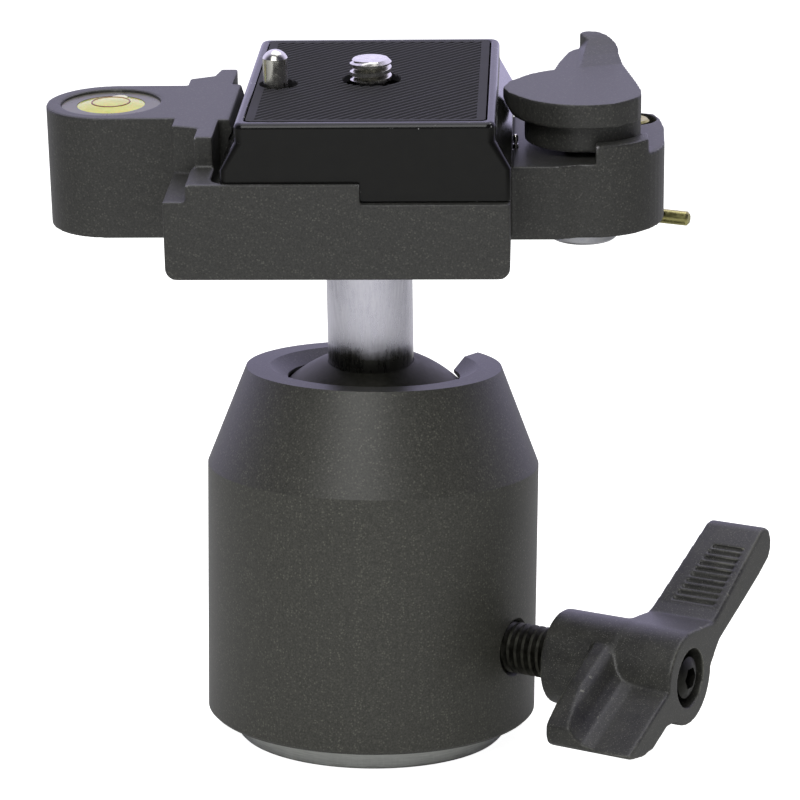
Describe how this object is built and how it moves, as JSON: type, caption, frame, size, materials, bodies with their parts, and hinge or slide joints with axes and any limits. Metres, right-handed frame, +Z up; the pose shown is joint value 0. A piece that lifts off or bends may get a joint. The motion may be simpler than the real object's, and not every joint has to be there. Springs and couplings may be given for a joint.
{
  "type": "tripod ball head",
  "caption": "Tripod ball head: turning body with a drop slot and side lock lever, ball and stem, and a lever clamp that holds a dovetail camera plate.",
  "frame": {"origin": "centre of the foot disc's underside, on the tripod thread's axis", "axes": "+Z up along the pan axis, -Y towards the side from which the clamp is normally seen, +X to the right"},
  "size_m": [0.1139, 0.0728, 0.1107],
  "materials": {
    "powder_coat": "dark grey fine-textured powder coat on aluminium",
    "gloss_black_paint": "gloss black paint on die-cast aluminium",
    "bare_aluminium": "turned bare aluminium",
    "anodised_ball": "dark satin anodised aluminium",
    "satin_chrome": "satin chrome plate",
    "polished_steel": "bright nickel plate",
    "zinc_steel": "zinc-plated steel",
    "spring_steel": "oil-tempered spring steel",
    "black_oxide_steel": "black oxide",
    "brass": "bare brass",
    "black_nylon": "glass-filled black nylon",
    "white_plastic": "natural acetal",
    "rubber": "ribbed rubber",
    "level_cup": "cream acrylic",
    "level_liquid": "yellow-green level liquid under a clear lens"
  },
  "bodies": {
    "base": {"base_disc": "bare_aluminium", "pan_washer": "white_plastic", "wave_washer": "spring_steel", "retainer_plate": "zinc_steel", "retainer_screws": "zinc_steel"},
    "housing": {"housing": "powder_coat", "floor_plate": "bare_aluminium", "seat_ring": "white_plastic", "cup_spring": "spring_steel"},
    "friction_cup": {"friction_cup": "bare_aluminium"},
    "thrust_pin": {"thrust_pin": "zinc_steel"},
    "lock_stud": {"lock_stud": "black_oxide_steel", "knob_insert": "zinc_steel", "knob_screw": "black_oxide_steel", "knob_spring": "spring_steel"},
    "lock_lever": {"lock_lever": "black_nylon"},
    "ball_liner": {"ball_liner": "white_plastic"},
    "ball": {"ball": "anodised_ball", "stem": "satin_chrome"},
    "clamp": {"clamp_body": "powder_coat", "clamp_screw": "zinc_steel", "level_cup": "level_cup", "level_vial": "level_liquid", "lever_screw": "polished_steel", "lever_spring": "spring_steel", "trigger_spring": "spring_steel", "safety_spring": "spring_steel"},
    "lever": {"clamp_lever": "powder_coat"},
    "safety": {"safety_spindle": "brass", "safety_pin": "brass"},
    "trigger": {"trigger_pin": "polished_steel"},
    "plate": {"plate": "gloss_black_paint", "plate_pad": "rubber", "pin_plug": "zinc_steel", "video_spring": "spring_steel"},
    "camera_screw": {"camera_screw": "polished_steel", "screw_clip": "spring_steel"},
    "video_pin": {"video_pin": "polished_steel"}
  },
  "joints": [
    {"name": "pan", "type": "hinge", "parent": "base", "child": "housing", "pos_m": [0, 0, 0], "axis": [0, 0, 1], "continuous": true},
    {"name": "cup_lift", "type": "slide", "parent": "housing", "child": "friction_cup", "axis": [0, 0, 1], "range_m": [-0.00036, 0], "deforming": ["cup_spring"]},
    {"name": "pin_advance", "type": "slide", "parent": "housing", "child": "thrust_pin", "axis": [0.8556, -0.5176, 0], "range_m": [0, 0.00125]},
    {"name": "lock_turn", "type": "hinge", "parent": "thrust_pin", "child": "lock_stud", "pos_m": [0, 0, 0.0175], "axis": [0.8556, -0.5176, 0], "range_deg": [0, 360]},
    {"name": "lever_pull", "type": "slide", "parent": "lock_stud", "child": "lock_lever", "axis": [0.8556, -0.5176, 0], "range_m": [0, 0.003], "stiffness_N_per_m": 500, "springref_m": -0.003, "deforming": ["knob_spring"]},
    {"name": "side_tilt", "type": "hinge", "parent": "housing", "child": "ball_liner", "pos_m": [0, 0, 0.0424], "axis": [0.5299, 0.848, 0], "range_deg": [-13.09, 6.91]},
    {"name": "drop_tilt", "type": "hinge", "parent": "ball_liner", "child": "ball", "pos_m": [0, 0, 0.0424], "axis": [-0.8468, 0.5291, 0.0539], "range_deg": [-11.86, 97.64]},
    {"name": "head_turn", "type": "hinge", "parent": "ball", "child": "clamp", "pos_m": [0, 0, 0.0424], "axis": [-0.0251, -0.1411, 0.9897], "continuous": true},
    {"name": "lever_open", "type": "hinge", "parent": "clamp", "child": "lever", "pos_m": [0.03335, 0.00262, 0.04362], "axis": [0.0251, 0.1411, -0.9897], "range_deg": [0, 110], "stiffness_Nm_per_rad": 0.05, "springref_deg": -28.65},
    {"name": "safety_turn", "type": "hinge", "parent": "clamp", "child": "safety", "pos_m": [0.04191, 0.01449, 0.04553], "axis": [-0.0251, -0.1411, 0.9897], "range_deg": [0, 60]},
    {"name": "trigger_press", "type": "slide", "parent": "clamp", "child": "trigger", "axis": [0.0251, 0.1411, -0.9897], "range_m": [0, 0.0012], "stiffness_N_per_m": 200, "springref_m": -0.002, "deforming": ["trigger_spring"]},
    {"name": "plate_slide", "type": "slide", "parent": "clamp", "child": "plate", "axis": [0.0459, 0.9888, 0.1421], "range_m": [0, 0.055]},
    {"name": "screw_turn", "type": "hinge", "parent": "plate", "child": "camera_screw", "pos_m": [0.00081, 0.00016, 0.04244], "axis": [-0.0251, -0.1411, 0.9897], "continuous": true},
    {"name": "pin_press", "type": "slide", "parent": "plate", "child": "video_pin", "axis": [0.0251, 0.1411, -0.9897], "range_m": [0, 0.0045], "stiffness_N_per_m": 150, "springref_m": -0.003, "deforming": ["video_spring"]}
  ],
  "couplings": [
    {"joint": "lock_turn", "follows": "pin_advance", "rad_per_m": 5026.5},
    {"joint": "cup_lift", "follows": "pin_advance", "ratio": -0.28}
  ]
}
